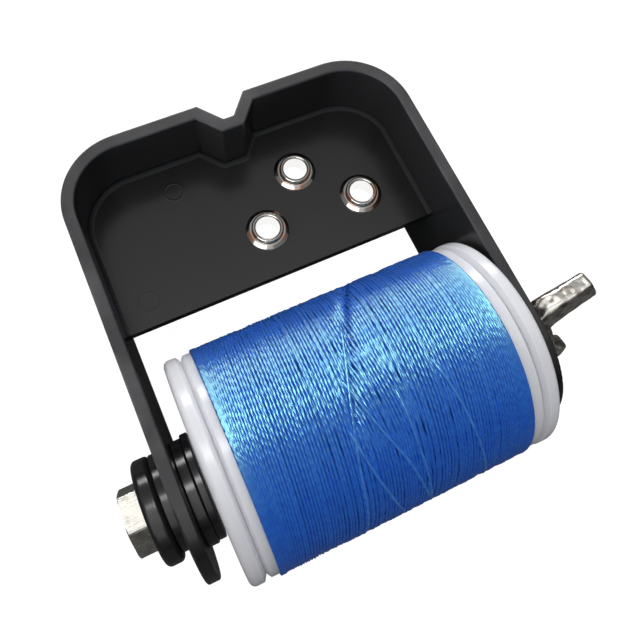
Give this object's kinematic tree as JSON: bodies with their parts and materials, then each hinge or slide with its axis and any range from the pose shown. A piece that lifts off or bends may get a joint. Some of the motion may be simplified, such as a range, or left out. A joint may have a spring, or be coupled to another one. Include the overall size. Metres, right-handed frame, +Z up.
{
  "type": "bowstring serving jig",
  "caption": "Moulded tray with a V notch and metal thread eyelets; a spool of blue serving thread spins on a hexagon bolt between its arms, clamped by a wing nut.",
  "frame": {"origin": "below the middle of the assembly's box, at its lowest point, the spool's underside", "axes": "+X along the clamp bolt from its head to the wing nut, +Y from the spool to the string notch, +Z up with the tray open side up"},
  "size_m": [0.0946, 0.0828, 0.0423],
  "materials": {
    "tray_plastic": "black moulded plastic, glossy",
    "rubber_washer": "black moulded rubber, satin",
    "eyelet_nickel": "bright nickel plate on stamped brass",
    "bolt_steel": "zinc plate on cold-headed steel",
    "wing_nut_zinc": "zinc plate on a cast wing nut, lightly pitted",
    "spool_plastic": "natural white moulded nylon, satin",
    "serving_thread": "blue synthetic thread twisted from plies, wound crosswise"
  },
  "bodies": {
    "tray": {"tray": "tray_plastic", "eyelet_left": "eyelet_nickel", "eyelet_top": "eyelet_nickel", "eyelet_right": "eyelet_nickel", "eyelet_washer_left": "eyelet_nickel", "eyelet_washer_top": "eyelet_nickel", "eyelet_washer_right": "eyelet_nickel", "clamp_bolt": "bolt_steel", "head_washer": "rubber_washer", "outer_spacer": "rubber_washer", "inner_spacer": "rubber_washer", "drag_washer_left": "rubber_washer", "drag_washer_right": "rubber_washer"},
    "spool": {"spool_barrel": "spool_plastic", "spool_cap_left": "spool_plastic", "spool_cap_right": "spool_plastic", "thread_winding": "serving_thread"},
    "nut_washer": {"nut_washer": "bolt_steel"},
    "wing_nut": {"wing_nut": "wing_nut_zinc"}
  },
  "joints": [
    {"name": "spool_spin", "type": "hinge", "parent": "tray", "child": "spool", "pos_m": [-0.00359, -0.02029, 0.02115], "axis": [1, 0, 0], "continuous": true},
    {"name": "nut_travel", "type": "slide", "parent": "tray", "child": "nut_washer", "axis": [1, 0, 0], "range_m": [0, 0.00254]},
    {"name": "nut_turn", "type": "hinge", "parent": "nut_washer", "child": "wing_nut", "pos_m": [0.03221, -0.02286, 0.02115], "axis": [1, 0, 0], "range_deg": [0, 720]}
  ],
  "couplings": [
    {"joint": "nut_travel", "follows": "nut_turn", "m_per_rad": 0.00020212}
  ]
}
